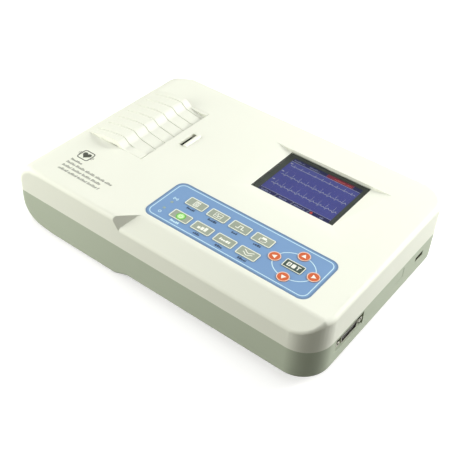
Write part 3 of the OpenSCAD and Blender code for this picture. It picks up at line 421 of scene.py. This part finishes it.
MAINS_MARK = (-17.6, -53.9)
BATTERY_MARK = (-17.5, -74.5)
marks = arcs(*MAINS_MARK, (1.3, 2.2), -50, 50, 0.45) + arcs(*MAINS_MARK, (1.3, 2.2), 130, 230, 0.45)
marks.append(outline(ellipse(*MAINS_MARK, 0.6, 0.6, 16)))
marks.append(between(ellipse(*BATTERY_MARK, 1.5, 1.5, 32), ellipse(*BATTERY_MARK, 0.9, 0.9, 32)))
on_pad("lamp_marks", marks, PALE_INK)

# each rectangular key has a pale border; its sign is drawn round the key's middle
for node in ("menu", "mode", "calibrate", "print", "power", "gain", "speed", "filter"):
    x, y, top = middle("key_" + node)
    printed(node + "_border", [frame_of(x, y, 18.7, 10.3, 1.4, 0.85)], CREAM_INK, top, BODY_OF["key_" + node])


def sign(node, shapes, material=WHITE_INK):
    """A key's sign, from shapes drawn round the origin."""
    x, y, top = middle("key_" + node)
    moved = [(centred(points, x, y), faces) for points, faces in shapes]
    return printed(node + "_sign", moved, material, top, BODY_OF["key_" + node])


WAVE = [(-4.6 + 0.46 * i, 1.1 * math.cos(math.radians(18 * i))) for i in range(21)]
rows = [stroke([(-1.5, v), (1.5, v)], 0.6) for v in (-1.6, -0.3, 1.0, 2.1)]
sign("menu", [frame_of(0, 0, 5.0, 6.4, 0.5, 0.6)] + rows)
sign("mode", [
    frame_of(0, 0, 7.6, 5.6, 0.6, 0.5),
    stroke([(-2.9, -0.4), (-1.6, -0.4), (-0.8, 1.5), (0.2, -1.6), (1.0, -0.2), (2.9, -0.2)], 0.55),
])
pulse = [(-4.2, -1.6), (-1.5, -1.6), (-1.5, 1.9), (1.5, 1.9), (1.5, -1.6), (4.2, -1.6)]
sign("calibrate", [stroke(pulse, 0.7)])
sheets = [block(-2.0, 2.0, 1.1, 2.9), block(-2.0, 2.0, -2.9, -1.4)]
sign("print", [frame_of(0, -0.6, 6.8, 3.4, 0.5, 0.6)] + sheets)
sign("gain", [block(-4.4, -1.9, -2.2, 0.4), block(-1.3, 1.3, -2.2, 1.5), block(1.9, 4.4, -2.2, 2.6)])
sign("speed", bars(-5.2, 5.2, -1.3, 2.6, 1.7, 0.45, phase=0.4, lean=0.15, word=9))
sign("filter", [stroke([(px, py + off) for px, py in WAVE], 0.7) for off in (1.3, -1.3)])

x, y, top = middle("key_power")
body = BODY_OF["key_power"]
printed("power_disc", [outline(ellipse(x, y, 4.3, 4.3, 48))], GREEN_INK, top, body)
printed("power_glow", [outline(ellipse(x, y, 3.1, 3.1, 40))], LIME_INK, top + 0.05, body)
ring = stroke(ellipse(x, y, 1.7, 1.7, 20, 125, 415), 0.5)
printed("power_sign", [ring, outline(rounded(x, y + 1.4, 0.5, 2.0, 0.2, 3))], WHITE_INK, top + 0.1, body)

for node, turn in (("left", 180), ("up", 90), ("down", 270), ("right", 0)):
    x, y, top = middle("key_" + node)
    body = BODY_OF["key_" + node]
    low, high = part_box("key_" + node)
    r = (high.x - low.x) / 2 / MM
    rim = between(ellipse(x, y, r + 0.12, r + 0.12, 48), ellipse(x, y, r - 0.6, r - 0.6, 48))
    printed(node + "_rim", [rim], PINK_INK, top, body)
    tip = ellipse(x, y, 2.5, 2.5, 3, turn, turn + 360)
    printed(node + "_arrow", [outline(tip)], WHITE_INK, top, body)

x, y, top = middle("key_set")
printed("set_border", [frame_of(x, y, 17.7, 9.4, 1.2, 0.7)], CREAM_INK, top, BODY_OF["key_set"])
sign("set", [
    frame_of(-4.2, 0, 3.4, 4.2, 0.4, 0.9), stroke([(-5.4, 0), (-3.0, 0)], 0.8),
    outline(rounded(0, 0, 3.2, 4.2, 0.4)),
    stroke([(2.6, 1.7), (5.8, 1.7)], 0.9), stroke([(4.2, 1.7), (4.2, -2.1)], 1.0),
])


# ---- screen ----

LCD_BODY = BODY_OF["lcd_panel"]
LCD_TOP = middle("lcd_panel")[2]
LIT_X, LIT_Y = 22.6, 6.9
LIT_L, LIT_W = 71.2, 57.2


def on_screen(points):
    """Points from 0..1 across and up the picture, in millimetres."""
    return [(LIT_X + LIT_L * u, LIT_Y + LIT_W * v) for u, v in points]


def field(u0, u1, v0, v1):
    """A rectangular patch of the picture."""
    return outline(on_screen([(u0, v0), (u1, v0), (u1, v1), (u0, v1)]))


def lit(name, colour, strength=0.55):
    """A lit colour of the display."""
    return ink(name, colour, 0.35, strength)


def beats(level, height, count=9):
    """One lead's trace across the picture: small waves and a spike for each beat."""
    shape = [
        (0.0, 0.0), (0.12, 0.0), (0.2, 0.1), (0.28, 0.0), (0.36, 0.0), (0.4, -0.12), (0.46, 1.0),
        (0.52, -0.3), (0.57, 0.0), (0.68, 0.02), (0.8, 0.24), (0.9, 0.0),
    ]
    start, end = 0.045, 0.985
    step = (end - start) / count
    trace = [(start + step * (i + u), level + height * v) for i in range(count) for u, v in shape]
    return on_screen(trace + [(end, level)])


def on_lcd(name, shapes, material, layer):
    """Part of the picture: each layer lies a little above the one before."""
    height, thick = ((0.0, 0.04), (0.05, 0.03), (0.09, 0.03))[layer]
    return printed(name, shapes, material, LCD_TOP + height, LCD_BODY, thick)


on_lcd("picture", [field(0, 1, 0, 1)], lit("screen_blue", (0.046, 0.050, 0.215)), 0)
on_lcd(
    "picture_bars", [field(0, 0.5, 0.915, 1), field(0.885, 1, 0.915, 1), field(0, 1, 0, 0.085)],
    lit("screen_navy", (0.012, 0.013, 0.085), 0.35), 1,
)
on_lcd("picture_alert", [field(0.505, 0.88, 0.918, 1)], lit("screen_red", (0.17, 0.014, 0.04), 0.5), 1)
lines = [stroke(on_screen([(0, v), (1, v)]), 0.28) for v in (0.087, 0.913)]
lines += [stroke(on_screen([(u, 0.004), (u + 0.018, 0.083)]), 0.3) for u in (0.235, 0.47, 0.7)]
lines += [stroke(beats(level, height), 0.36) for level, height in ((0.8, 0.05), (0.54, 0.1), (0.27, 0.12))]
for level in (0.845, 0.6, 0.345):
    x, y = on_screen([(0.015, level)])[0]
    lines += bars(x, x + 2.4, y, 1.5, 0.7, 0.25, phase=level * 9, word=9)
on_lcd("picture_traces", lines, lit("screen_pale", (0.36, 0.38, 0.42), 0.5), 2)


def screen_words(u0, u1, v, phase, word):
    """A row of small bars in the picture, from u0 to u1 at height v."""
    x, y = on_screen([(u0, v)])[0]
    return bars(x, LIT_X + LIT_L * u1, y, 1.9, 1.0, 0.4, phase=phase, word=word)


UPPER, LOWER = 0.94, 0.025
marks = []
for u0, u1 in ((0.02, 0.17), (0.25, 0.4)):
    marks += screen_words(u0, u1, UPPER, u0 * 20, 6)
for u0, u1 in ((0.03, 0.17), (0.29, 0.41), (0.51, 0.66), (0.87, 0.92)):
    marks += screen_words(u0, u1, LOWER, u0 * 20, 6)
on_lcd("picture_words", marks, lit("screen_grey", (0.15, 0.16, 0.30), 0.5), 2)
alert = screen_words(0.62, 0.86, UPPER, 2.2, 8)
on_lcd("alert_words", alert, lit("screen_light_red", (0.42, 0.06, 0.06), 0.5), 2)
on_lcd("picture_flag", [field(0.735, 0.765, 0.02, 0.065)], lit("screen_flag", (0.50, 0.05, 0.04)), 2)

# the pane's dark border, printed on its underside
PANE_X, PANE_Y, PANE_TOP = middle("screen_window")
outer = rounded(PANE_X, PANE_Y, 82.0, 64.0, 2.0)
inner = rounded(LIT_X + LIT_L / 2 + 0.3, LIT_Y + LIT_W / 2 - 0.5, LIT_L + 0.5, LIT_W + 0.5, 0.4)
border = ink("screen_border", (0.052, 0.060, 0.055))
printed("screen_mask", [between(outer, inner)], border, PANE_TOP - 1.3, BODY_OF["screen_window"])


# ---- painted shadow: a black patch on the latch's plate stands in for the shade in the knob's slot ----

PLATE_TOP = 60.8
# painted shadow: this black patch darkens the slot round the knob, where there is only shade
patch = outline(rounded(-67.5, 18.6, 8.0, 23.0, 0.5))
printed("latch_slot_painted_shadow", [patch], ink("painted_shadow_black", (0.012,) * 3, 0.9), PLATE_TOP, BODY_OF["latch_slide"])


# ---- label on the left ----

TOP = 67.0
CASE = BODY_OF["upper_case"]
SIGN_X, SIGN_Y = -116.7, -59.7
heart = [
    (16 * math.sin(t) ** 3, 13 * math.cos(t) - 5 * math.cos(2 * t) - 2 * math.cos(3 * t) - math.cos(4 * t))
    for t in (math.radians(9 * i) for i in range(40))
]
label = [frame_of(SIGN_X, SIGN_Y, 12.8, 12.8, 2.6, 0.95), outline(centred(heart, SIGN_X, SIGN_Y + 0.4, 0.28))]
for side in (-1, 1):
    for reach, off in ((1.9, -1.6), (2.8, 0.0), (1.9, 1.6)):
        start, end = SIGN_X + side * 6.2, SIGN_X + side * (6.2 + reach)
        label.append(stroke([(start, SIGN_Y + off), (end, SIGN_Y + off)], 0.6))
printed("label_sign", label, LABEL_INK, TOP, CASE)
words = bars(-123.4, -110.0, -72.2, 2.5, 1.6, 0.35, word=9)
for order, (y, end) in enumerate(((-77.4, -70.6), (-82.7, -77.5), (-88.0, -75.5))):
    words += bars(-124.0 + 0.4 * order, end, y, 2.9, 1.1, 0.45, phase=1.3 * order, lean=0.25, word=7)
printed("label_words", words, GREY_INK, TOP, CASE)


# ---- stage ----

def studio():
    """A pale floor under an even sky, and two low soft lights that leave the front right corner in shade."""
    mesh = bpy.data.meshes.new("floor")
    half, low = 20.0, -0.0001
    corners = [(-half, -half, low), (half, -half, low), (half, half, low), (-half, half, low)]
    mesh.from_pydata(corners, [], [(0, 1, 2, 3)])
    floor = bpy.data.objects.new("floor", mesh)
    bpy.context.scene.collection.objects.link(floor)
    mesh.materials.append(surface("pale_floor", (0.62, 0.61, 0.64), 0.8, vary=0.004, mottle=2, depth=0.0))
    shader = mesh.materials[0].node_tree.nodes["Principled BSDF"]
    shader.inputs["Emission Color"].default_value = (1.0, 1.0, 1.0, 1.0)
    shader.inputs["Emission Strength"].default_value = 0.55
    floor.visible_diffuse = False
    world = bpy.data.worlds.new("studio")
    bpy.context.scene.world = world
    world.use_nodes = True
    nodes, links = world.node_tree.nodes, world.node_tree.links
    split = nodes.new("ShaderNodeSeparateXYZ")
    links.new(nodes.new("ShaderNodeTexCoord").outputs["Generated"], split.inputs["Vector"])
    sky = ramp(nodes, links, split.outputs["Z"], [(0.0, (0.04,) * 3), (0.06, (0.345, 0.347, 0.262))])
    links.new(sky, nodes["Background"].inputs["Color"])
    lamps = [
        ("left_front", (-0.94, -0.70, 0.32), (0.6, 0.5), 14.5, (1.0, 1.01, 0.92)),
        ("right_back", (0.74, 0.98, 0.48), (0.6, 0.5), 22.5, (1.0, 1.01, 0.95)),
        ("overhead", (0.1, 0.1, 1.7), (1.5, 1.5), 9.3, (0.97, 0.975, 1.14)),
    ]
    for name, at, size, power, tint in lamps:
        data = bpy.data.lights.new(name, "AREA")
        data.shape = "RECTANGLE"
        data.size, data.size_y = size
        data.energy = power
        data.color = tint
        lamp = bpy.data.objects.new(name, data)
        lamp.location = at
        lamp.rotation_mode = "QUATERNION"
        lamp.rotation_quaternion = (Vector(at) - Vector((0, 0, 0.05))).to_track_quat("Z", "Y")
        bpy.context.scene.collection.objects.link(lamp)


def camera():
    """Looks down at the front right corner, with a slight roll."""
    data = bpy.data.cameras.new("camera")
    data.sensor_width = 36.0
    data.lens = 63.93
    made = bpy.data.objects.new("camera", data)
    place = Vector((325.75, -454.72, 494.35)) * MM
    target = Vector((16.87, -24.03, 33.41)) * MM
    roll = math.radians(3.29)
    forward = (target - place).normalized()
    right = forward.cross(Vector((0, 0, 1))).normalized()
    up = right.cross(forward)
    x_axis = math.cos(roll) * right + math.sin(roll) * up
    y_axis = -math.sin(roll) * right + math.cos(roll) * up
    turn = Matrix((x_axis, y_axis, -forward)).transposed()
    made.matrix_world = Matrix.Translation(place) @ turn.to_4x4()
    bpy.context.scene.collection.objects.link(made)
    bpy.context.scene.camera = made


studio()
camera()
bpy.context.scene.view_settings.view_transform = "Standard"
